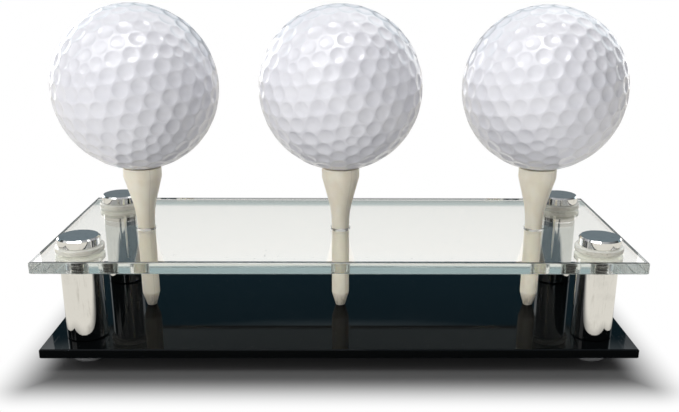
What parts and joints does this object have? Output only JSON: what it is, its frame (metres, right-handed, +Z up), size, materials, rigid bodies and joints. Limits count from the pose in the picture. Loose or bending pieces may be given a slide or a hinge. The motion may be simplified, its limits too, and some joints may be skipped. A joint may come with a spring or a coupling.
{
  "type": "golf ball display stand",
  "caption": "Two acrylic plates on corner standoffs, with golf tees standing in a row through the clear top plate and a dimpled ball resting on each tee.",
  "frame": {"origin": "on the table, below the middle of the plates", "axes": "+Z up, +X along the plates' long side, -Y towards the front"},
  "size_m": [0.15, 0.06, 0.0885],
  "materials": {
    "black_acrylic": "polished",
    "clear_acrylic": "polished, clear",
    "clear_washer": "clear, soft",
    "chrome": "polished chrome plate",
    "screw_chrome": "chrome plate",
    "stud_steel": "plain threaded steel",
    "tee_plastic": "satin moulded plastic",
    "ball_cover": "gloss, dimpled"
  },
  "bodies": {
    "stand": {"base_plate": "black_acrylic", "top_plate": "clear_acrylic", "front_left_barrel": "chrome", "front_left_lower_washer": "clear_washer", "front_left_base_screw": "screw_chrome", "front_right_barrel": "chrome", "front_right_lower_washer": "clear_washer", "front_right_base_screw": "screw_chrome", "back_left_barrel": "chrome", "back_left_lower_washer": "clear_washer", "back_left_base_screw": "screw_chrome", "back_right_barrel": "chrome", "back_right_lower_washer": "clear_washer", "back_right_base_screw": "screw_chrome"},
    "front_left_washer": {"front_left_upper_washer": "clear_washer"},
    "front_left_cap": {"front_left_cap": "chrome", "front_left_stud": "stud_steel"},
    "front_right_washer": {"front_right_upper_washer": "clear_washer"},
    "front_right_cap": {"front_right_cap": "chrome", "front_right_stud": "stud_steel"},
    "back_left_washer": {"back_left_upper_washer": "clear_washer"},
    "back_left_cap": {"back_left_cap": "chrome", "back_left_stud": "stud_steel"},
    "back_right_washer": {"back_right_upper_washer": "clear_washer"},
    "back_right_cap": {"back_right_cap": "chrome", "back_right_stud": "stud_steel"},
    "left_tee": {"left_tee": "tee_plastic"},
    "left_ball": {"left_ball": "ball_cover"},
    "middle_tee": {"middle_tee": "tee_plastic"},
    "middle_ball": {"middle_ball": "ball_cover"},
    "right_tee": {"right_tee": "tee_plastic"},
    "right_ball": {"right_ball": "ball_cover"}
  },
  "joints": [
    {"name": "front_left_cap_turn", "type": "hinge", "parent": "stand", "child": "front_left_washer", "pos_m": [-0.0654, -0.0204, 0.0309], "axis": [0, 0, 1], "range_deg": [0, 2880]},
    {"name": "front_left_cap_rise", "type": "slide", "parent": "front_left_washer", "child": "front_left_cap", "axis": [0, 0, 1], "range_m": [0, 0.0064]},
    {"name": "front_right_cap_turn", "type": "hinge", "parent": "stand", "child": "front_right_washer", "pos_m": [0.0654, -0.0204, 0.0309], "axis": [0, 0, 1], "range_deg": [0, 2880]},
    {"name": "front_right_cap_rise", "type": "slide", "parent": "front_right_washer", "child": "front_right_cap", "axis": [0, 0, 1], "range_m": [0, 0.0064]},
    {"name": "back_left_cap_turn", "type": "hinge", "parent": "stand", "child": "back_left_washer", "pos_m": [-0.0654, 0.0204, 0.0309], "axis": [0, 0, 1], "range_deg": [0, 2880]},
    {"name": "back_left_cap_rise", "type": "slide", "parent": "back_left_washer", "child": "back_left_cap", "axis": [0, 0, 1], "range_m": [0, 0.0064]},
    {"name": "back_right_cap_turn", "type": "hinge", "parent": "stand", "child": "back_right_washer", "pos_m": [0.0654, 0.0204, 0.0309], "axis": [0, 0, 1], "range_deg": [0, 2880]},
    {"name": "back_right_cap_rise", "type": "slide", "parent": "back_right_washer", "child": "back_right_cap", "axis": [0, 0, 1], "range_m": [0, 0.0064]},
    {"name": "left_tee_lift", "type": "slide", "parent": "stand", "child": "left_tee", "axis": [0, 0, 1], "range_m": [0, 0.024]},
    {"name": "left_ball_lift", "type": "slide", "parent": "left_tee", "child": "left_ball", "axis": [0, 0, 1], "range_m": [0, 0.03]},
    {"name": "middle_tee_lift", "type": "slide", "parent": "stand", "child": "middle_tee", "axis": [0, 0, 1], "range_m": [0, 0.024]},
    {"name": "middle_ball_lift", "type": "slide", "parent": "middle_tee", "child": "middle_ball", "axis": [0, 0, 1], "range_m": [0, 0.03]},
    {"name": "right_tee_lift", "type": "slide", "parent": "stand", "child": "right_tee", "axis": [0, 0, 1], "range_m": [0, 0.024]},
    {"name": "right_ball_lift", "type": "slide", "parent": "right_tee", "child": "right_ball", "axis": [0, 0, 1], "range_m": [0, 0.03]}
  ],
  "couplings": [
    {"joint": "front_left_cap_turn", "follows": "front_left_cap_rise", "rad_per_m": 7854},
    {"joint": "front_right_cap_turn", "follows": "front_right_cap_rise", "rad_per_m": 7854},
    {"joint": "back_left_cap_turn", "follows": "back_left_cap_rise", "rad_per_m": 7854},
    {"joint": "back_right_cap_turn", "follows": "back_right_cap_rise", "rad_per_m": 7854}
  ]
}
